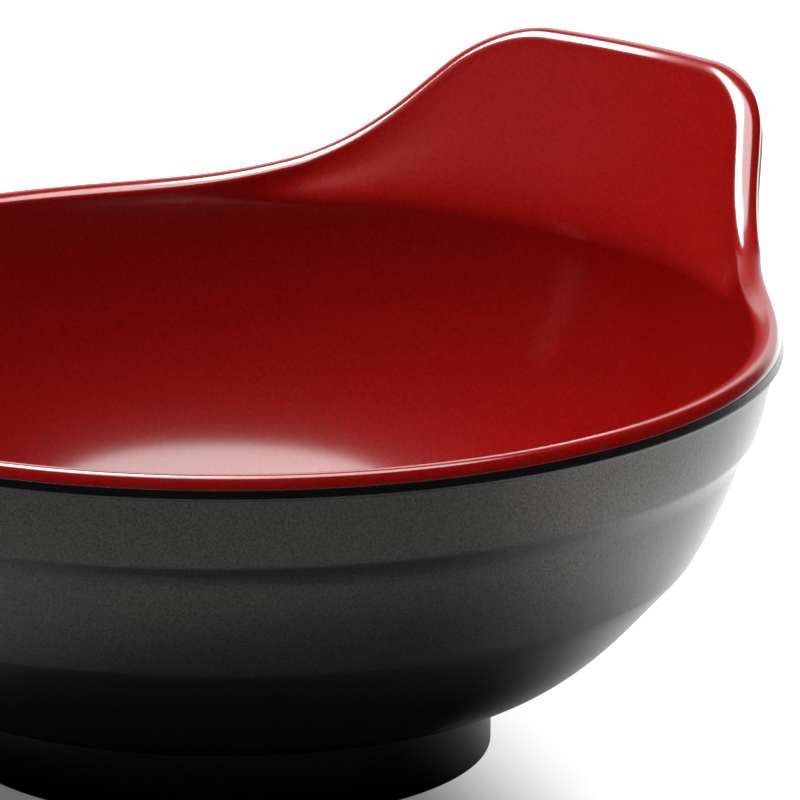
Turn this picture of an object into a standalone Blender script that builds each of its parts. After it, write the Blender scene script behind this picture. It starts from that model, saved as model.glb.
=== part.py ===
"""A two-colour dipping bowl with a tab rising from its rim. Metres, +Z up, the tab towards +Y.

A red lining is bonded into a black shell. Both are turned from half profiles that follow one body
curve, and both are then drawn out into the tab by the same rule, so the bond stays even all over.
"""

import math

import bmesh
import bpy
from mathutils import Vector

for old in list(bpy.data.objects):
    bpy.data.objects.remove(old, do_unlink=True)

MM = 0.001

# Rim and lip, measured at the line where the two colours meet
RIM_RADIUS = 60.0 * MM
RIM_HEIGHT = 45.6 * MM
LIP_WIDTH = 3.6 * MM
LIP_ROUND = 1.3 * MM
LIP_DROP = 0.3 * MM
BEAD_HEIGHT = 1.4 * MM
BEAD_EDGE = 0.4 * MM

# Inside of the bowl: a flat floor that sweeps up into the wall
FLOOR_RADIUS = 33.4 * MM
FLOOR_HEIGHT = 12.1 * MM
FLOOR_SWEEP = 5.0 * MM
WALL_LEAN = math.radians(8.7)
WALL_SWEEP = 19.9 * MM

# Thickness of the wall and of its layers
WALL_AT_FLOOR = 3.2 * MM
WALL_AT_RIM = 2.0 * MM
LINING = 0.9 * MM
BOND_GAP = 0.3 * MM

# Bands on the outside: a soft ridge at the waist and a step under the top band
WAIST_HEIGHT = 22.9 * MM
WAIST_RIDGE = 0.2 * MM
WAIST_SPREAD = 4.6 * MM
STEP_HEIGHT = 34.7 * MM
STEP_RISE = 1.9 * MM
STEP_PROUD = 0.55 * MM

# Foot ring and base
FOOT_RADIUS = 29.0 * MM
FOOT_WIDTH = 3.6 * MM
FOOT_EDGE = 0.5 * MM
FOOT_DRAFT = 0.5 * MM
BASE_THICKNESS = 3.4 * MM

# Tab, laid out on the cone it leans along: a flat top, round corners, straight sides, and flares that start
# this high up and run out into the rim, slower the higher their power
TAB_LENGTH = 20.8 * MM
TAB_LEAN = math.radians(36.6)
TAB_TOP = 22.8 * MM
TAB_CORNER = 11.2 * MM
TAB_SIDE = math.radians(54.3)
TAB_FLARE = 11.2 * MM
FLARE_POWER = 5.9
TAB_LEAN_IN = 6.0 * MM
TAB_THICKENING = 1.2
TAB_ROUNDING = 1.45

# Fineness of the turned meshes
COLUMNS = 88
COLUMN_CROWDING = 0.62
BELLY_STEPS = 6
BAND_STEPS = 4
TOP_BAND_STEPS = 2
LIP_STEPS = 4
EDGE_STEPS = 3
LINING_STEPS = 11
FOOT_STEPS = 2
BEAD_STEPS = 2
HALVINGS = 40

# The lip turns about this circle, and the tab is drawn out of the stretch between these two heights
EDGE_RADIUS = RIM_RADIUS - LIP_ROUND
LIP_HEIGHT = RIM_HEIGHT - LIP_DROP
BEND_HEIGHT = LIP_HEIGHT - 2 * LIP_DROP
WALL_TOP_RADIUS = RIM_RADIUS - LIP_WIDTH
TIP_RADIUS = EDGE_RADIUS + TAB_LENGTH * math.sin(TAB_LEAN) + TAB_THICKENING * LIP_ROUND
BOWL_AXIS = Vector((0, (RIM_RADIUS - TIP_RADIUS) / 2, 0))

# Ends of the stretches of the tab's outline, along the rim from its middle and up its length
CORNER_ACROSS = TAB_TOP / 2 + TAB_CORNER * math.sin(TAB_SIDE)
CORNER_UP = TAB_LENGTH - TAB_CORNER * (1 - math.cos(TAB_SIDE))
FLARE_ACROSS = CORNER_ACROSS + (CORNER_UP - TAB_FLARE) / math.tan(TAB_SIDE)
FLARE_REACH = FLARE_POWER * TAB_FLARE / math.tan(TAB_SIDE)


def body(t):
    """Point on the inside surface, from the floor's edge at 0 to the wall's top at 1, and its normal."""
    floor = Vector((FLOOR_RADIUS, FLOOR_HEIGHT))
    top = Vector((WALL_TOP_RADIUS, BEND_HEIGHT))
    low = floor + Vector((FLOOR_SWEEP, 0))
    high = top - WALL_SWEEP * Vector((math.sin(WALL_LEAN), math.cos(WALL_LEAN)))
    u = 1 - t
    point = u**3 * floor + 3 * u * u * t * low + 3 * u * t * t * high + t**3 * top
    along = u * u * (low - floor) + 2 * u * t * (high - low) + t * t * (top - high)
    normal = Vector((along.y, -along.x)).normalized()
    return point, normal


def layer(t, depth):
    """Point at this depth under the inside surface."""
    point, normal = body(t)
    return point + depth * normal


def outside(t):
    """Point on the black outside, with the waist's ridge and the top band standing proud of the wall."""
    wall = WALL_AT_FLOOR + t * (WALL_AT_RIM - WALL_AT_FLOOR)
    height = layer(t, wall).y
    ridge = max(0, 1 - abs(height - WAIST_HEIGHT) / WAIST_SPREAD)
    step = min(1, max(0, (height - STEP_HEIGHT) / STEP_RISE))
    return layer(t, wall + WAIST_RIDGE * ridge + STEP_PROUD * step)


def find(reached):
    """Place along the body curve where a test that starts false turns true."""
    low, high = 0, 1
    for _ in range(HALVINGS):
        middle = (low + high) / 2
        if reached(outside(middle)):
            high = middle
        else:
            low = middle
    return high


def spread(start, end, steps):
    """Evenly spread places after the start, up to and with the end."""
    return [start + (end - start) * i / steps for i in range(1, steps + 1)]


def arc(centre, across, along, start, end, steps):
    """Points on a round of two half widths, by angles from straight up towards the outside."""
    angles = [start + (end - start) * i / steps for i in range(steps + 1)]
    return [centre + Vector((across * math.sin(a), along * math.cos(a))) for a in angles]


def lip_side(depth):
    """The wall's last two points at this depth: at the bend, where the tab starts, and under the lip."""
    bend = layer(1, depth)
    bend.y = BEND_HEIGHT
    return [bend, bend + (LIP_HEIGHT - BEND_HEIGHT) * Vector((math.tan(WALL_LEAN), 1))]


def lining_profile():
    """Half profile of the lining: up the inside, over the lip and back down its bonded side."""
    inner = [layer(t, 0) for t in spread(0, 1, LINING_STEPS)[:-1]]
    bonded = [layer(t, LINING) for t in spread(0, 1, LINING_STEPS)[:-1]]
    centre = Vector((EDGE_RADIUS, RIM_HEIGHT))
    start = lip_side(0)[1]
    inner_round = Vector((EDGE_RADIUS, start.y))
    rise = RIM_HEIGHT + LIP_ROUND - start.y
    over = arc(inner_round, EDGE_RADIUS - start.x, rise, -math.pi / 2, 0, LIP_STEPS)
    meets = math.acos(BOND_GAP / 2 / LIP_ROUND)
    edge = arc(centre, LIP_ROUND, LIP_ROUND, 0, meets, EDGE_STEPS)
    under = [Vector((EDGE_RADIUS, edge[-1].y)), Vector((lip_side(LINING)[1].x, edge[-1].y))]
    floor = [Vector((0, FLOOR_HEIGHT)), layer(0, 0)]
    back = [layer(0, LINING), Vector((0, FLOOR_HEIGHT - LINING))]
    front = floor + inner + lip_side(0) + over[1:] + edge[1:]
    return front + under + lip_side(LINING)[::-1] + bonded[::-1] + back


def shell_profile():
    """Half profile of the shell: base, foot ring, up the banded outside, over its top, down the inside."""
    depth = LINING + BOND_GAP
    base = FLOOR_HEIGHT - depth - BASE_THICKNESS
    hollow = FOOT_RADIUS - FOOT_WIDTH
    foot = [Vector((0, base)), Vector((hollow - FOOT_DRAFT, base)), Vector((hollow, FOOT_EDGE))]
    heel = Vector((hollow + FOOT_EDGE, FOOT_EDGE))
    toe = Vector((FOOT_RADIUS - FOOT_EDGE, FOOT_EDGE))
    foot += arc(heel, FOOT_EDGE, FOOT_EDGE, -math.pi / 2, -math.pi, FOOT_STEPS)[1:]
    foot += arc(toe, FOOT_EDGE, FOOT_EDGE, math.pi, math.pi / 2, FOOT_STEPS)
    belly = find(lambda point: point.x >= FOOT_RADIUS)
    foot += [Vector((FOOT_RADIUS, outside(belly).y))]
    waist = find(lambda point: point.y >= WAIST_HEIGHT)
    step = find(lambda point: point.y >= STEP_HEIGHT)
    band = find(lambda point: point.y >= STEP_HEIGHT + STEP_RISE)
    corner = RIM_HEIGHT - BEAD_HEIGHT
    under_bead = find(lambda point: point.y >= corner)
    places = [belly] + spread(belly, waist, BELLY_STEPS) + spread(waist, step, BAND_STEPS)
    places += spread(step, band, 1) + spread(band, under_bead, TOP_BAND_STEPS)
    outer = [outside(t) for t in places]
    beneath = Vector((RIM_RADIUS - BEAD_EDGE, corner + BEAD_EDGE))
    bead = arc(beneath, BEAD_EDGE, BEAD_EDGE, math.pi, math.pi / 2, BEAD_STEPS)
    bead += [Vector((RIM_RADIUS, BEND_HEIGHT)), Vector((RIM_RADIUS, LIP_HEIGHT))]
    ledge = RIM_HEIGHT - BOND_GAP / 2
    side = lip_side(depth)
    top = [Vector((RIM_RADIUS, ledge)), Vector((EDGE_RADIUS, ledge)), Vector((side[1].x, ledge))]
    inner = [layer(t, depth) for t in spread(0, 1, LINING_STEPS)[:-1]]
    floor = [layer(0, depth), Vector((0, FLOOR_HEIGHT - depth))]
    return foot + outer + bead + top + side[::-1] + inner[::-1] + floor


def outline(across):
    """How far up the tab its edge is, at this distance along the rim from its middle."""
    if across <= TAB_TOP / 2:
        return TAB_LENGTH
    if across <= CORNER_ACROSS:
        return TAB_LENGTH - TAB_CORNER + math.sqrt(TAB_CORNER**2 - (across - TAB_TOP / 2) ** 2)
    if across <= FLARE_ACROSS:
        return CORNER_UP - (across - CORNER_ACROSS) * math.tan(TAB_SIDE)
    left = max(0, 1 - (across - FLARE_ACROSS) / FLARE_REACH)
    return TAB_FLARE * left**FLARE_POWER


def tab_length(angle):
    """How far up the tab its edge is at this angle from its middle, found along the outline on the cone."""
    low, high = 0, math.pi * RIM_RADIUS
    for _ in range(HALVINGS):
        across = (low + high) / 2
        if across < abs(angle) * (EDGE_RADIUS + outline(across) * math.sin(TAB_LEAN)):
            low = across
        else:
            high = across
    return outline(high)


def rim_edge(angle):
    """Centre of the lip's rounding at this angle, carried up and out along the tab."""
    length = tab_length(angle)
    radius = EDGE_RADIUS + length * math.sin(TAB_LEAN)
    height = RIM_HEIGHT + length * math.cos(TAB_LEAN)
    return Vector((radius * math.sin(angle), radius * math.cos(angle), height))


def draw_out(co):
    """Place of a turned point once the rim around it is drawn out into the tab."""
    share = min(1, max(0, (co.z - BEND_HEIGHT) / (LIP_HEIGHT - BEND_HEIGHT)))
    angle = math.atan2(co.x, co.y)
    if share == 0:
        return co.copy()
    # Edge frame: along the rim, out of the sheet's back and off the sheet's edge
    step = math.radians(0.05)
    tangent = (rim_edge(angle + step) - rim_edge(angle - step)).normalized()
    length = tab_length(angle)
    lean = TAB_LEAN * min(1, length / TAB_LEAN_IN)
    radial = Vector((math.sin(angle), math.cos(angle), 0))
    slope = math.sin(lean) * radial + Vector((0, 0, math.cos(lean)))
    back = slope.cross(tangent).normalized()
    off = tangent.cross(back)
    # The colours meet where the rounding is widest seen from above, so that angle moves round on the tab
    across = math.hypot(co.x, co.y) - EDGE_RADIUS
    along = co.z - RIM_HEIGHT
    if across > 0:
        meets = math.atan2(off.z, -back.z)
        turn = math.atan2(across, along)
        if turn <= math.pi / 2:
            turn *= meets / (math.pi / 2)
        else:
            turn = math.pi - (math.pi - turn) * (math.pi - meets) / (math.pi / 2)
        reach = math.hypot(across, along)
        across = reach * math.sin(turn)
        along = reach * math.cos(turn)
    else:
        # The face's rounding is drawn out further down the tab
        along = LIP_ROUND + (along - LIP_ROUND) * (1 + (TAB_ROUNDING - 1) * length / TAB_LENGTH)
    grown = 1 + (TAB_THICKENING - 1) * length / TAB_LENGTH
    moved = rim_edge(angle) + grown * (across * back + along * off)
    return co.lerp(moved, share)


def crowd(co):
    """Turns a point about the axis so that the mesh's columns crowd towards the tab."""
    angle = math.atan2(co.x, co.y)
    radius = math.hypot(co.x, co.y)
    angle -= COLUMN_CROWDING * math.sin(angle)
    return Vector((radius * math.sin(angle), radius * math.cos(angle), co.z))


def turned(name, profile, colour, roughness):
    """Solid spun from a half profile that starts and ends on the axis, drawn out into the tab."""
    bm = bmesh.new()
    verts = [bm.verts.new((0, point.x, point.y)) for point in profile]
    edges = [bm.edges.new(pair) for pair in zip(verts, verts[1:])]
    bmesh.ops.spin(
        bm,
        geom=verts + edges,
        cent=(0, 0, 0),
        axis=(0, 0, 1),
        angle=2 * math.pi,
        steps=COLUMNS,
        use_merge=True,
    )
    bmesh.ops.remove_doubles(bm, verts=bm.verts, dist=0.01 * MM)
    for vert in bm.verts:
        vert.co = BOWL_AXIS + draw_out(crowd(vert.co))
    bmesh.ops.recalc_face_normals(bm, faces=bm.faces)
    mesh = bpy.data.meshes.new(name)
    bm.to_mesh(mesh)
    bm.free()
    mesh.shade_smooth()
    material = bpy.data.materials.new(name)
    material.use_nodes = True
    shader = material.node_tree.nodes["Principled BSDF"]
    shader.inputs["Base Color"].default_value = (*colour, 1)
    shader.inputs["Roughness"].default_value = roughness
    shader.inputs["Metallic"].default_value = 0
    mesh.materials.append(material)
    piece = bpy.data.objects.new(name, mesh)
    bowl.objects.link(piece)
    return piece


bowl = bpy.data.collections.new("sauce_bowl")
bpy.context.scene.collection.children.link(bowl)

# Black outside, satin, with the foot ring and the tab's back
turned("outer_shell", shell_profile(), (0.012, 0.012, 0.013), 0.4)

# Red inside, glossy, with the lip and the tab's face and edge
turned("inner_lining", lining_profile(), (0.30, 0.006, 0.004), 0.15)
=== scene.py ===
import functools
import math

import bmesh
import bpy
from mathutils import Matrix, Vector


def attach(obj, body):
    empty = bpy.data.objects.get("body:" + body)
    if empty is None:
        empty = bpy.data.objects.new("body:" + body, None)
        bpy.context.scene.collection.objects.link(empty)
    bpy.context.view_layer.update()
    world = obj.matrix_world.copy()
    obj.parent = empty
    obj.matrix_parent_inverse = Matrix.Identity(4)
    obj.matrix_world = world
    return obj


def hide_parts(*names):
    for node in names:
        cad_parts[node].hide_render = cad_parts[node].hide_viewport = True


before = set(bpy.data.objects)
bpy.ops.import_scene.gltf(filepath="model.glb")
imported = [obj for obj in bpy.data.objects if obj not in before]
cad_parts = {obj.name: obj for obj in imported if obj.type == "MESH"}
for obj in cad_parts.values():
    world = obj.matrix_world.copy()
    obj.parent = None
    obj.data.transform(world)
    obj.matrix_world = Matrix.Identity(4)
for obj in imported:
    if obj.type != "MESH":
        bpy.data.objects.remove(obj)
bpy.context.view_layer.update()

# Outer shell: the black outside of the bowl, moulded in melamine resin with a fine satin face. Its foot
# ring, stepped bands, rim bead and the back of the tab come out of one mould, and the red lining is
# moulded into it, so that the two colours meet in a hairline under the lip.
MM = 0.001

# The bowl's axis stands forward of the frame's origin, because the tab reaches out behind
AXIS_FORWARD = 6.33 * MM

# The rim and the red lip on it: a tight crest outside, then a flatter fall to the line between the colours
RIM_RADIUS = 60.0 * MM
RIM_HEIGHT = 45.6 * MM
LIP_WIDTH = 3.6 * MM
LIP_ROUND = 1.1 * MM
LIP_CREST = 0.8 * MM
CREST_TURN = math.radians(52)
LIP_TURN = math.radians(75)
PARTING_DROP = 0.2 * MM
LIP_DROP = 0.3 * MM

# The black bead under the lip, which flares out downwards
BEAD_HEIGHT = 1.4 * MM
BEAD_EDGE = 0.4 * MM
BEAD_FILLET = 0.15 * MM
BEAD_FLARE = 0.4 * MM

# The red inside: a flat floor, and a wall that sweeps up out of it and leans out a little at the rim
FLOOR_RADIUS = 33.4 * MM
FLOOR_HEIGHT = 12.1 * MM
FLOOR_SWEEP = 5.0 * MM
WALL_LEAN = math.radians(8.7)
WALL_SWEEP = 19.9 * MM

# The wall's thickness, the red layer's share of it, the bond behind that, and the hairline that shows
WALL_AT_FLOOR = 3.2 * MM
WALL_AT_RIM = 2.0 * MM
LINING = 0.9 * MM
BOND_GAP = 0.3 * MM
HAIRLINE = 0.05 * MM

# The black outside: the ridge at the waist, the step under the top band, the foot ring and the base
WAIST_HEIGHT = 22.9 * MM
WAIST_RIDGE = 0.6 * MM
WAIST_ABOVE = 11.0 * MM
WAIST_BELOW = 6.0 * MM
WAIST_EDGE = 0.3 * MM
STEP_HEIGHT = 34.7 * MM
STEP_RISE = 1.7 * MM
STEP_PROUD = 0.65 * MM
STEP_EDGE = 0.35 * MM
STEP_HOLLOW = 1.0 * MM
FOOT_RADIUS = 29.0 * MM
FOOT_WIDTH = 3.6 * MM
FOOT_EDGE = 0.5 * MM
FOOT_DRAFT = 0.5 * MM
FOOT_FILLET = 0.8 * MM
BASE_THICKNESS = 3.4 * MM

# The tab: its outline laid flat, from a straight top to the long flare into the rim, then how the sheet
# leans out, bends over at the crease, swells at its flanks, thickens and is rounded at its edge
TAB_RADIUS = 58.7 * MM
TAB_LENGTH = 21.24 * MM
TAB_LEAN = math.radians(37.4)
TAB_TOP = 22.6 * MM
TAB_CORNER = 12.6 * MM
TAB_SIDE = math.radians(56.7)
TAB_FLARE = 11.8 * MM
FLARE_POWER = 23
TAB_LEAN_IN = 4.0 * MM
FLANK_SWELL = 5.3
SWELL_TURN = 1.5 * math.pi
TAB_THICKENING = 1.2
TAB_ROUNDING = 1.45
CREASE_BEND = 2.8 * MM

# How finely the pieces are divided, and how closely the sums are worked out
COLUMNS = 320
COLUMN_CROWDING = 0.45
BELLY_ROWS = 22
BAND_ROWS = 10
TOP_BAND_ROWS = 6
TAB_ROWS = 26
TAB_ROW_GATHER = 1.5
HIDDEN_ROWS = 12
ROUND_ROWS = 6
HALVINGS = 40
TANGENT_STEP = math.radians(0.05)
LAST_RISE = 0.01
ANGLE_DIGITS = 6
MERGED_WITHIN = 0.001 * MM

PARTING = RIM_HEIGHT - PARTING_DROP
LIP_FALL = LIP_ROUND + PARTING_DROP - LIP_CREST * (1 - math.cos(CREST_TURN))
LIP_FALL /= math.cos(CREST_TURN) - math.cos(LIP_TURN)
LIP_OUT = LIP_CREST * math.sin(CREST_TURN) + LIP_FALL * (math.sin(LIP_TURN) - math.sin(CREST_TURN))
EDGE_RADIUS = RIM_RADIUS - BEAD_FLARE - LIP_OUT
LIP_HEIGHT = RIM_HEIGHT - LIP_DROP
BEND_HEIGHT = LIP_HEIGHT - 2 * LIP_DROP
BOWL_AXIS = Vector((0, -AXIS_FORWARD, 0))
CORNER_ACROSS = TAB_TOP / 2 + TAB_CORNER * math.sin(TAB_SIDE)
CORNER_UP = TAB_LENGTH - TAB_CORNER * (1 - math.cos(TAB_SIDE))
FLARE_ACROSS = CORNER_ACROSS + (CORNER_UP - TAB_FLARE) / math.tan(TAB_SIDE)
FLARE_REACH = FLARE_POWER * TAB_FLARE / math.tan(TAB_SIDE)


def layer(t, depth):
    """Point at a depth under the red inside, from the edge of its floor at 0 to the top of its wall at 1."""
    floor = Vector((FLOOR_RADIUS, FLOOR_HEIGHT))
    top = Vector((RIM_RADIUS - LIP_WIDTH, BEND_HEIGHT))
    low = floor + Vector((FLOOR_SWEEP, 0))
    high = top - WALL_SWEEP * Vector((math.sin(WALL_LEAN), math.cos(WALL_LEAN)))
    u = 1 - t
    point = u**3 * floor + 3 * u * u * t * low + 3 * u * t * t * high + t**3 * top
    along = u * u * (low - floor) + 2 * u * t * (high - low) + t * t * (top - high)
    return point + depth * Vector((along.y, -along.x)).normalized()


def outside(t):
    """Point on the black outside, with the step under its top band and the ridge at its waist.

    The ridge swells out over a long way from above, and falls back quickly under its edge.
    """
    wall = WALL_AT_FLOOR + t * (WALL_AT_RIM - WALL_AT_FLOOR)
    height = layer(t, wall).y
    ridge = max(0, 1 - (height - WAIST_HEIGHT) / WAIST_ABOVE)
    if height < WAIST_HEIGHT:
        ridge = max(0, 1 - (WAIST_HEIGHT - height) / WAIST_BELOW) ** 2
    step = min(1, max(0, (height - STEP_HEIGHT) / STEP_RISE))
    return layer(t, wall + WAIST_RIDGE * ridge + STEP_PROUD * step)


def climb(reached):
    """How far up the wall a test on the outside first holds."""
    low, high = 0, 1
    for _ in range(HALVINGS):
        middle = (low + high) / 2
        if reached(outside(middle)):
            high = middle
        else:
            low = middle
    return high


def spread(start, end, rows):
    """Evenly spread places between two, without the two themselves."""
    return [start + (end - start) * i / rows for i in range(1, rows)]


def lip_side(depth):
    """The two points that the tab is drawn out between, at this depth: the bend and the root of the lip."""
    bend = layer(1, depth)
    bend.y = BEND_HEIGHT
    return [bend, bend + (LIP_HEIGHT - BEND_HEIGHT) * Vector((math.tan(WALL_LEAN), 1))]


def shell_outline():
    """Half outline of the shell as points with their roundings, from under its base to its inside floor."""
    depth = LINING + BOND_GAP
    base = FLOOR_HEIGHT - depth - BASE_THICKNESS
    hollow = FOOT_RADIUS - FOOT_WIDTH
    belly = climb(lambda point: point.x >= FOOT_RADIUS)
    waist = climb(lambda point: point.y >= WAIST_HEIGHT)
    step = climb(lambda point: point.y >= STEP_HEIGHT)
    band = climb(lambda point: point.y >= STEP_HEIGHT + STEP_RISE)
    under_bead = climb(lambda point: point.y >= RIM_HEIGHT - BEAD_HEIGHT)
    outline = [(Vector((0, base)), 0), (Vector((hollow - FOOT_DRAFT, base)), FOOT_EDGE)]
    outline += [(Vector((hollow, 0)), FOOT_EDGE), (Vector((FOOT_RADIUS, 0)), FOOT_EDGE)]
    outline += [(Vector((FOOT_RADIUS, outside(belly).y)), FOOT_FILLET), (outside(belly), 0)]
    outline += [(outside(t), 0) for t in spread(belly, waist, BELLY_ROWS)]
    outline += [(outside(waist), WAIST_EDGE)]
    outline += [(outside(t), 0) for t in spread(waist, step, BAND_ROWS)]
    outline += [(outside(step), STEP_HOLLOW), (outside(band), STEP_EDGE)]
    outline += [(outside(t), 0) for t in spread(band, under_bead, TOP_BAND_ROWS)]
    outline += [(outside(under_bead), BEAD_FILLET)]
    ledge = PARTING - HAIRLINE / 2
    corner = Vector((RIM_RADIUS, RIM_HEIGHT - BEAD_HEIGHT))
    crest = Vector((RIM_RADIUS - BEAD_FLARE, ledge))
    outline += [(corner, BEAD_EDGE)]
    for height in (BEND_HEIGHT, LIP_HEIGHT):
        outline += [(corner.lerp(crest, (height - corner.y) / (ledge - corner.y)), 0)]
    side = lip_side(depth)
    outline += [(crest, HAIRLINE), (Vector((EDGE_RADIUS, ledge)), 0)]
    outline += [(Vector((EDGE_RADIUS - BOND_GAP, RIM_HEIGHT - BOND_GAP / 2)), 0)]
    outline += [(Vector((side[1].x, RIM_HEIGHT - BOND_GAP / 2)), 0), (side[1], 0), (side[0], 0)]
    outline += [(layer(t, depth), 0) for t in spread(1, 0, HIDDEN_ROWS)]
    return outline + [(layer(0, depth), 0), (Vector((0, FLOOR_HEIGHT - depth)), 0)]


def tab_edge(across):
    """How far up the tab its edge is, at this distance along the rim from its middle."""
    if across <= TAB_TOP / 2:
        return TAB_LENGTH
    if across <= CORNER_ACROSS:
        return TAB_LENGTH - TAB_CORNER + math.sqrt(TAB_CORNER**2 - (across - TAB_TOP / 2) ** 2)
    if across <= FLARE_ACROSS:
        return CORNER_UP - (across - CORNER_ACROSS) * math.tan(TAB_SIDE)
    left = max(0, 1 - (across - FLARE_ACROSS) / FLARE_REACH)
    return TAB_FLARE * left**FLARE_POWER


def tab_length(angle):
    """How far up the tab its edge is at this angle round the bowl, found on the cone it leans along."""
    low, high = 0, math.pi * RIM_RADIUS
    for _ in range(HALVINGS):
        across = (low + high) / 2
        if across < abs(angle) * (TAB_RADIUS + tab_edge(across) * math.sin(TAB_LEAN)):
            low = across
        else:
            high = across
    return tab_edge(high)


def lean_at(length):
    """How far the sheet leans out where the tab is this long."""
    share = min(1, length / TAB_LEAN_IN)
    return WALL_LEAN + share * share * (3 - 2 * share) * (TAB_LEAN - WALL_LEAN)


def leant(rise, length):
    """Share of the lean reached at a share of the rise.

    The sheet leaves the wall upright and bends over, with a slight swell where the tab's flank is low.
    """
    start = math.tan(WALL_LEAN) / math.tan(lean_at(length))
    soft = CREASE_BEND / math.hypot(length, CREASE_BEND)
    bent = (math.hypot(rise, soft) - soft) / (math.hypot(1, soft) - soft)
    swell = FLANK_SWELL * soft * soft * (1 - soft) / SWELL_TURN
    bent = (bent + swell * (1 - math.cos(SWELL_TURN * rise))) / (1 + swell)
    return start * rise + (1 - start) * bent


def rim_edge(angle):
    """Centre of the lip's rounding at this angle round the bowl, carried up and out along the tab."""
    length = tab_length(angle)
    radius = EDGE_RADIUS + length * math.sin(lean_at(length))
    height = RIM_HEIGHT + length * math.cos(lean_at(length))
    return Vector((radius * math.sin(angle), radius * math.cos(angle), height))


@functools.cache
def rim_frame(angle):
    """Place of the rim's edge, the ways out of the sheet's back and off its edge, and the tab's length.

    The lip stays in line with the top of the sheet that carries it.
    """
    tangent = (rim_edge(angle + TANGENT_STEP) - rim_edge(angle - TANGENT_STEP)).normalized()
    length = tab_length(angle)
    steepness = (leant(1, length) - leant(1 - LAST_RISE, length)) / LAST_RISE
    lean = math.atan(steepness * math.tan(lean_at(length))) - WALL_LEAN
    slope = Vector((math.sin(lean) * math.sin(angle), math.sin(lean) * math.cos(angle), math.cos(lean)))
    back = slope.cross(tangent).normalized()
    return rim_edge(angle), back, tangent.cross(back), length


def drawn_out(co):
    """Place of a turned point once the rim around it is drawn out into the tab.

    Points between the bend and the root of the lip spread up the sheet, and those above stay at its edge.
    """
    climbed = min(1, max(0, (co.z - BEND_HEIGHT) / (LIP_HEIGHT - BEND_HEIGHT)))
    if climbed == 0:
        return co
    edge, back, off, length = rim_frame(round(math.atan2(co.x, co.y), ANGLE_DIGITS))
    across = math.hypot(co.x, co.y) - EDGE_RADIUS
    along = co.z - RIM_HEIGHT
    if across > 0:
        # The colours meet where the rounding is widest seen from above, so that line moves round on the tab
        meets = math.atan2(off.z, -back.z)
        turn = math.atan2(across, along)
        if turn <= math.pi / 2:
            turn *= meets / (math.pi / 2)
        else:
            turn = math.pi - (math.pi - turn) * (math.pi - meets) / (math.pi / 2)
        reach = math.hypot(across, along)
        across = reach * math.sin(turn)
        along = reach * math.cos(turn)
    else:
        # The face's rounding is drawn out further down the tab
        along = LIP_ROUND + (along - LIP_ROUND) * (1 + (TAB_ROUNDING - 1) * length / TAB_LENGTH)
    grown = 1 + (TAB_THICKENING - 1) * length / TAB_LENGTH
    move = edge + grown * (across * back + along * off) - co
    rise = climbed**TAB_ROW_GATHER
    lean = leant(rise, length)
    return co + Vector((lean * move.x, lean * move.y, rise * move.z))


def turned(name, outline):
    """Closed piece turned from a half outline with its corners rounded, and drawn out into the tab."""
    bm = bmesh.new()
    verts = [bm.verts.new((0, point.x, point.y)) for point, _ in outline]
    edges = [bm.edges.new(pair) for pair in zip(verts, verts[1:])]
    middles = [(edge, sum(vert.co.z for vert in edge.verts) / 2) for edge in edges]
    sheet = [edge for edge, middle in middles if BEND_HEIGHT < middle < LIP_HEIGHT]
    bmesh.ops.subdivide_edges(bm, edges=sheet, cuts=TAB_ROWS)
    for point, rounding in outline:
        if rounding:
            corner = Vector((0, *point))
            bmesh.ops.bevel(
                bm,
                geom=[min(bm.verts, key=lambda vert: (vert.co - corner).length)],
                offset=rounding,
                affect="VERTICES",
                segments=ROUND_ROWS,
                profile=0.5,
                material=-1,
            )
    bmesh.ops.spin(
        bm,
        geom=bm.verts[:] + bm.edges[:],
        cent=(0, 0, 0),
        axis=(0, 0, 1),
        angle=2 * math.pi,
        steps=COLUMNS,
        use_merge=True,
    )
    bmesh.ops.remove_doubles(bm, verts=bm.verts, dist=MERGED_WITHIN)
    for vert in bm.verts:
        angle = math.atan2(vert.co.x, vert.co.y)
        crowd = Matrix.Rotation(COLUMN_CROWDING * math.sin(angle), 3, "Z")
        vert.co = BOWL_AXIS + drawn_out(crowd @ vert.co)
    bmesh.ops.recalc_face_normals(bm, faces=bm.faces)
    mesh = bpy.data.meshes.new(name)
    bm.to_mesh(mesh)
    bm.free()
    mesh.shade_smooth()
    piece = bpy.data.objects.new(name, mesh)
    bpy.context.scene.collection.objects.link(piece)
    return piece


def linear(code):
    """Linear colour of an sRGB hex code."""
    shares = [int(code[i : i + 2], 16) / 255 for i in (1, 3, 5)]
    return (*[s / 12.92 if s <= 0.04045 else ((s + 0.055) / 1.055) ** 2.4 for s in shares], 1)


def add(tree, kind, inputs, **settings):
    """Adds a node with its settings, and sets or links its inputs."""
    node = tree.nodes.new(kind)
    for setting, value in settings.items():
        setattr(node, setting, value)
    for socket, value in inputs.items():
        if isinstance(value, bpy.types.NodeSocket):
            tree.links.new(value, node.inputs[socket])
        else:
            node.inputs[socket].default_value = value
    return node


shell = turned("black_shell", shell_outline())

# Melamine from a blasted mould: near black, with a satin sheen that breaks up into a very fine grain. The
# grain is about 0.05 mm on the real bowl, and is drawn at 0.22 mm so that it shows.
GRAIN = 0.22 * MM
GRAIN_DETAIL = {"Detail": 2.0, "Roughness": 0.6}
GRAIN_DEPTH = 0.03 * MM
GRAIN_STRENGTH = 0.6
GRAIN_DARK = "#050505"
GRAIN_PALE = "#131314"
GRAIN_GLEAM = {"From Min": 0.3, "From Max": 0.7, "To Min": 0.3, "To Max": 0.7}
CLOUD = 7.0 * MM
CLOUD_DETAIL = {"Detail": 3.0}
CLOUD_SHEEN = {"To Min": 0.21, "To Max": 0.26}
SATIN_IOR = 1.5
SATIN_TINT = "#FFFCF7"
satin = bpy.data.materials.new("satin_black_melamine")
satin.use_nodes = True
tree = satin.node_tree
place = add(tree, "ShaderNodeTexCoord", {}).outputs["Object"]
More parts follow.
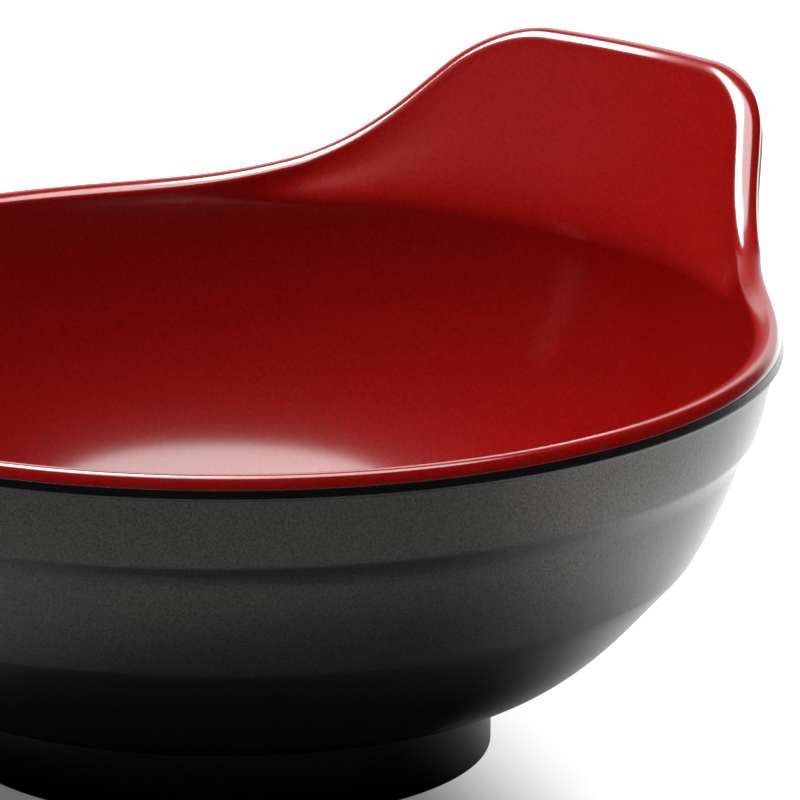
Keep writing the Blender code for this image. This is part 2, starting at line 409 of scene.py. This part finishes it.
grain = add(
    tree, "ShaderNodeTexNoise", {"Vector": place, "Scale": 1 / GRAIN, **GRAIN_DETAIL}
).outputs["Fac"]
cloud = add(
    tree, "ShaderNodeTexNoise", {"Vector": place, "Scale": 1 / CLOUD, **CLOUD_DETAIL}
).outputs["Fac"]
sheen = add(tree, "ShaderNodeMapRange", {"Value": cloud, **CLOUD_SHEEN})
gleam = add(tree, "ShaderNodeMapRange", {"Value": grain, **GRAIN_GLEAM})
bump = add(
    tree, "ShaderNodeBump", {"Height": grain, "Strength": GRAIN_STRENGTH, "Distance": GRAIN_DEPTH}
)
tone = add(
    tree,
    "ShaderNodeMix",
    {"Factor": grain, "A": linear(GRAIN_DARK), "B": linear(GRAIN_PALE)},
    data_type="RGBA",
)
shader = tree.nodes["Principled BSDF"]
shader.inputs["IOR"].default_value = SATIN_IOR
shader.inputs["Specular Tint"].default_value = linear(SATIN_TINT)
tree.links.new(tone.outputs[2], shader.inputs["Base Color"])
tree.links.new(sheen.outputs["Result"], shader.inputs["Roughness"])
tree.links.new(gleam.outputs["Result"], shader.inputs["Specular IOR Level"])
tree.links.new(bump.outputs["Normal"], shader.inputs["Normal"])
shell.data.materials.append(satin)
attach(shell, "root")
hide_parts("outer_shell")

# Lining: the red inside of the bowl, a thin layer of melamine moulded into the black shell. It wraps over
# the lip and forms the whole face and edge of the tab, and stops at the hairline under the lip.
LINING_ROWS = 56
LIP_ROWS = 14


def rounded(centre, across, along, start, end, rows):
    """Points on a round of two half widths, by angles from straight up towards the outside."""
    angles = [start + (end - start) * i / rows for i in range(rows + 1)]
    return [(centre + Vector((across * math.sin(a), along * math.cos(a))), 0) for a in angles]


def lining_outline():
    """Half outline of the lining: across its floor, up the inside, over the lip and back down behind."""
    outline = [(Vector((0, FLOOR_HEIGHT)), 0)]
    outline += [(Vector((radius, FLOOR_HEIGHT)), 0) for radius in spread(0, FLOOR_RADIUS, HIDDEN_ROWS)]
    outline += [(layer(0, 0), 0)] + [(layer(t, 0), 0) for t in spread(0, 1, LINING_ROWS)]
    side = lip_side(0)
    outline += [(point, 0) for point in side]
    inner_round = Vector((EDGE_RADIUS, side[1].y))
    rise = RIM_HEIGHT + LIP_ROUND - side[1].y
    outline += rounded(inner_round, EDGE_RADIUS - side[1].x, rise, -math.pi / 2, 0, LIP_ROWS)[1:]
    meets = math.acos(math.cos(LIP_TURN) + HAIRLINE / 2 / LIP_FALL)
    centre = Vector((EDGE_RADIUS, RIM_HEIGHT + LIP_ROUND - LIP_CREST))
    outline += rounded(centre, LIP_CREST, LIP_CREST, 0, CREST_TURN, LIP_ROWS)[1:]
    centre += (LIP_CREST - LIP_FALL) * Vector((math.sin(CREST_TURN), math.cos(CREST_TURN)))
    edge = rounded(centre, LIP_FALL, LIP_FALL, CREST_TURN, meets, LIP_ROWS)[1:]
    outline += edge[:-1] + [(edge[-1][0], HAIRLINE / 3)]
    bonded = lip_side(LINING)
    outline += [(Vector((EDGE_RADIUS, edge[-1][0].y)), 0)]
    outline += [(Vector((EDGE_RADIUS - BOND_GAP, RIM_HEIGHT + BOND_GAP / 2)), 0)]
    outline += [(Vector((bonded[1].x, RIM_HEIGHT + BOND_GAP / 2)), 0), (bonded[1], 0), (bonded[0], 0)]
    outline += [(layer(t, LINING), 0) for t in spread(1, 0, HIDDEN_ROWS)]
    return outline + [(layer(0, LINING), 0), (Vector((0, FLOOR_HEIGHT - LINING)), 0)]


lining = turned("red_lining", lining_outline())

# Melamine from a polished mould: a deep red, finely mottled, under a clear wet gloss whose slight ripple
# softens what it mirrors. Nearly all of the shine is the gloss, and the colour under it is dull.
MOTTLE = 0.35 * MM
MOTTLE_DETAIL = {"Detail": 2.0}
MOTTLE_DARK = "#690402"
MOTTLE_PALE = "#A60A06"
RIPPLE = 2.4 * MM
RIPPLE_DETAIL = {"Detail": 1.0}
RIPPLE_SHEEN = {"To Min": 0.28, "To Max": 0.31}
RIPPLE_DEPTH = 0.02 * MM
RIPPLE_STRENGTH = 0.15
COLOUR_IOR = 1.6
COLOUR_SHINE = 0.06
GLOSS_WEIGHT = 1.0
GLOSS_ROUGHNESS = 0.14
GLOSS_IOR = 1.9
gloss = bpy.data.materials.new("gloss_red_melamine")
gloss.use_nodes = True
tree = gloss.node_tree
place = add(tree, "ShaderNodeTexCoord", {}).outputs["Object"]
mottle = add(
    tree, "ShaderNodeTexNoise", {"Vector": place, "Scale": 1 / MOTTLE, **MOTTLE_DETAIL}
).outputs["Fac"]
ripple = add(
    tree, "ShaderNodeTexNoise", {"Vector": place, "Scale": 1 / RIPPLE, **RIPPLE_DETAIL}
).outputs["Fac"]
tone = add(
    tree,
    "ShaderNodeMix",
    {"Factor": mottle, "A": linear(MOTTLE_DARK), "B": linear(MOTTLE_PALE)},
    data_type="RGBA",
)
sheen = add(tree, "ShaderNodeMapRange", {"Value": ripple, **RIPPLE_SHEEN})
bump = add(
    tree, "ShaderNodeBump", {"Height": ripple, "Strength": RIPPLE_STRENGTH, "Distance": RIPPLE_DEPTH}
)
shader = tree.nodes["Principled BSDF"]
shader.inputs["IOR"].default_value = COLOUR_IOR
shader.inputs["Specular IOR Level"].default_value = COLOUR_SHINE
shader.inputs["Coat Weight"].default_value = GLOSS_WEIGHT
shader.inputs["Coat Roughness"].default_value = GLOSS_ROUGHNESS
shader.inputs["Coat IOR"].default_value = GLOSS_IOR
tree.links.new(tone.outputs[2], shader.inputs["Base Color"])
tree.links.new(sheen.outputs["Result"], shader.inputs["Roughness"])
tree.links.new(bump.outputs["Normal"], shader.inputs["Normal"])
lining.data.materials.append(gloss)
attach(lining, "root")
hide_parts("inner_lining")

# Camera: a long lens a metre off and a little above the table, with the tab behind the bowl on the right.
# Yaw, pitch and roll, in radians, turn it from level and straight at the bowl's axis.
CAMERA_TURN = math.radians(40.33)
CAMERA_BACK = 1027.97 * MM
CAMERA_HEIGHT = 331.92 * MM
CAMERA_YAW = 0.01845
CAMERA_PITCH = 0.27854
CAMERA_ROLL = 0.00728
LENS_LENGTH = 450
SENSOR_WIDTH = 36
NEAREST_SEEN = 0.01
FARTHEST_SEEN = 100


def seen_from_camera(right, away, up):
    """Point in the frame from its places to the camera's right of the axis, away from it and up."""
    return BOWL_AXIS + Matrix.Rotation(CAMERA_TURN, 3, "Z") @ Vector((right, away, up))


camera_data = bpy.data.cameras.new("camera")
camera_data.lens = LENS_LENGTH
camera_data.sensor_width = SENSOR_WIDTH
camera_data.clip_start = NEAREST_SEEN
camera_data.clip_end = FARTHEST_SEEN
camera = bpy.data.objects.new("camera", camera_data)
bpy.context.scene.collection.objects.link(camera)
stand = Matrix.Translation(seen_from_camera(0, -CAMERA_BACK, CAMERA_HEIGHT))
aim = Matrix.Rotation(CAMERA_TURN - CAMERA_YAW, 4, "Z")
aim = aim @ Matrix.Rotation(math.pi / 2 - CAMERA_PITCH, 4, "X") @ Matrix.Rotation(CAMERA_ROLL, 4, "Z")
camera.matrix_world = stand @ aim
bpy.context.scene.camera = camera

# Floor: matt white paper that runs on as the white background, with painted light on it as a glow. The
# camera sees that glow all round, faintly in the bowl's shade, and on the camera's right of the foot as
# painted light that reaches into that shade. The bowl mirrors a painted glow beyond that shade, at its side
# and behind it. Ways across the floor are shares to the camera's right and away from it, and distances run
# from the bowl's axis.
FLOOR_SIZE = 8.0
PAPER = "#B8B8B8"
PAPER_ROUGHNESS = 0.9
SHADE_GLOW = 0.15
PAINTED_LIGHT_SIDE = (0.96, 0.28)
PAINTED_LIGHT_START = 10.0 * MM
PAINTED_LIGHT_FULL = 36.0 * MM
OPEN_START = 90.0 * MM
OPEN_FULL = 190.0 * MM
MIRRORED_SIDE = (0.71, 0.71)
SIDE_START = -15.0 * MM
SIDE_FULL = 50.0 * MM
CLEAR_START = 40.0 * MM
CLEAR_FULL = 76.0 * MM
MIRRORED_BACK = (0.5, 0.87)
BACK_START = -7.0 * MM
BACK_FULL = 58.0 * MM


def across_floor(way, start, full, least=0.0, most=1.0):
    """Share of the floor's glow, rising between two distances along a way, or all round without one."""
    if way:
        towards = seen_from_camera(*way, 0) - BOWL_AXIS
        axis = towards.dot(BOWL_AXIS)
        reach = add(tree, "ShaderNodeVectorMath", {0: place, 1: towards}, operation="DOT_PRODUCT")
    else:
        axis = 0
        reach = add(tree, "ShaderNodeVectorMath", {0: place, 1: BOWL_AXIS}, operation="DISTANCE")
    limits = {"From Min": axis + start, "From Max": axis + full, "To Min": least, "To Max": most}
    rising = {"Value": reach.outputs["Value"], **limits}
    return add(tree, "ShaderNodeMapRange", rising, interpolation_type="SMOOTHSTEP").outputs["Result"]


def background_rays():
    """What tells the camera's own rays, and those that mirror or pass through a piece, from the rest."""
    path = add(tree, "ShaderNodeLightPath", {}).outputs
    ways = {0: path["Is Glossy Ray"], 1: path["Is Transmission Ray"]}
    mirrored = add(tree, "ShaderNodeMath", ways, operation="MAXIMUM").outputs["Value"]
    return path["Is Camera Ray"], mirrored


floor_mesh = bpy.data.meshes.new("white_floor")
bm = bmesh.new()
bmesh.ops.create_grid(bm, x_segments=1, y_segments=1, size=FLOOR_SIZE / 2)
bm.to_mesh(floor_mesh)
bm.free()
floor = bpy.data.objects.new("white_floor", floor_mesh)
bpy.context.scene.collection.objects.link(floor)
paper = bpy.data.materials.new("white_paper_with_painted_light")
paper.use_nodes = True
tree = paper.node_tree
place = add(tree, "ShaderNodeTexCoord", {}).outputs["Object"]
seen, mirrored = background_rays()
beyond_shade = across_floor(None, OPEN_START, OPEN_FULL, SHADE_GLOW)
# Painted light: on the camera's right of the foot the floor glows white right up to it, inside the bowl's
# shade
seen_painted_light = across_floor(PAINTED_LIGHT_SIDE, PAINTED_LIGHT_START, PAINTED_LIGHT_FULL, beyond_shade)
# Painted light for what the bowl mirrors: a glow at its side and behind it, which fades to nothing near the
# bowl at its side as painted shade
clear_of_bowl = across_floor(None, CLEAR_START, CLEAR_FULL)
beside = across_floor(MIRRORED_SIDE, SIDE_START, SIDE_FULL, 0.0, clear_of_bowl)
behind = across_floor(MIRRORED_BACK, BACK_START, BACK_FULL)
painted_light_share = add(tree, "ShaderNodeMath", {0: behind, 1: beside}, operation="MAXIMUM").outputs["Value"]
mirrored_painted_light = add(tree, "ShaderNodeMath", {0: painted_light_share, 1: mirrored}, operation="MULTIPLY")
glow = add(tree, "ShaderNodeMix", {"Factor": seen, "A": mirrored_painted_light.outputs["Value"], "B": seen_painted_light})
shader = tree.nodes["Principled BSDF"]
shader.inputs["Base Color"].default_value = linear(PAPER)
shader.inputs["Roughness"].default_value = PAPER_ROUGHNESS
shader.inputs["Specular IOR Level"].default_value = 0.0
shader.inputs["Emission Color"].default_value = (1, 1, 1, 1)
tree.links.new(glow.outputs["Result"], shader.inputs["Emission Strength"])
floor_mesh.materials.append(paper)

# Light: a broad oval soft box overhead, a stronger square one high behind the bowl on the left, and a dim
# strip low on the left. The wall behind is white as far as its sides and top, given as cosines from straight
# behind and sines of the way up, and the rest of the room is dark.
ROOM_GLOW = 0.012
WALL_GLOW = 1.0
WALL_SIDES = {"From Min": 0.75, "From Max": 0.88}
WALL_TOP = {"From Min": 0.5, "From Max": 0.65}


def soft_box(name, bearing, elevation, distance, shape, width, height, radiance):
    """Soft light that faces the bowl, by degrees to the right from straight behind it and degrees up."""
    data = bpy.data.lights.new(name, "AREA")
    data.shape = shape
    data.size = width
    data.size_y = height
    area = width * height * (math.pi / 4 if shape == "ELLIPSE" else 1)
    data.energy = radiance * math.pi * area
    lamp = bpy.data.objects.new(name, data)
    bpy.context.scene.collection.objects.link(lamp)
    turn = Matrix.Rotation(CAMERA_TURN - math.radians(bearing), 4, "Z")
    tilt = Matrix.Rotation(math.radians(90 - elevation), 4, "X").inverted()
    lamp.matrix_world = Matrix.Translation(BOWL_AXIS) @ turn @ tilt @ Matrix.Translation((0, 0, distance))
    lamp.visible_camera = False


soft_box(
    "overhead_box",
    bearing=0,
    elevation=88,
    distance=1.8,
    shape="ELLIPSE",
    width=1.95,
    height=1.56,
    radiance=4.3,
)
soft_box(
    "key_box",
    bearing=-45,
    elevation=66,
    distance=2.0,
    shape="RECTANGLE",
    width=1.0,
    height=1.0,
    radiance=15.5,
)
soft_box(
    "left_strip",
    bearing=-95,
    elevation=14,
    distance=2.0,
    shape="RECTANGLE",
    width=0.2,
    height=0.8,
    radiance=0.05,
)

world = bpy.data.worlds.new("studio")
bpy.context.scene.world = world
world.use_nodes = True
tree = world.node_tree
way = add(tree, "ShaderNodeTexCoord", {}).outputs["Generated"]
ways = {0: way, 1: seen_from_camera(0, 1, 0) - BOWL_AXIS}
turned_back = add(tree, "ShaderNodeVectorMath", ways, operation="DOT_PRODUCT").outputs["Value"]
height = add(tree, "ShaderNodeSeparateXYZ", {"Vector": way}).outputs["Z"]
sides = {"Value": turned_back, **WALL_SIDES}
broad = add(tree, "ShaderNodeMapRange", sides, interpolation_type="SMOOTHSTEP").outputs["Result"]
top = {"Value": height, **WALL_TOP, "To Min": broad, "To Max": 0.0}
wall = add(tree, "ShaderNodeMapRange", top, interpolation_type="SMOOTHSTEP").outputs["Result"]
seen, mirrored = background_rays()
white = add(tree, "ShaderNodeMath", {0: wall, 1: mirrored}, operation="MULTIPLY").outputs["Value"]
room = add(tree, "ShaderNodeMapRange", {"Value": white, "To Min": ROOM_GLOW, "To Max": WALL_GLOW})
glow = add(tree, "ShaderNodeMix", {"Factor": seen, "A": room.outputs["Result"], "B": 1.0})
background = tree.nodes["Background"]
background.inputs["Color"].default_value = (1, 1, 1, 1)
tree.links.new(glow.outputs["Result"], background.inputs["Strength"])

bpy.context.scene.view_settings.view_transform = "Standard"
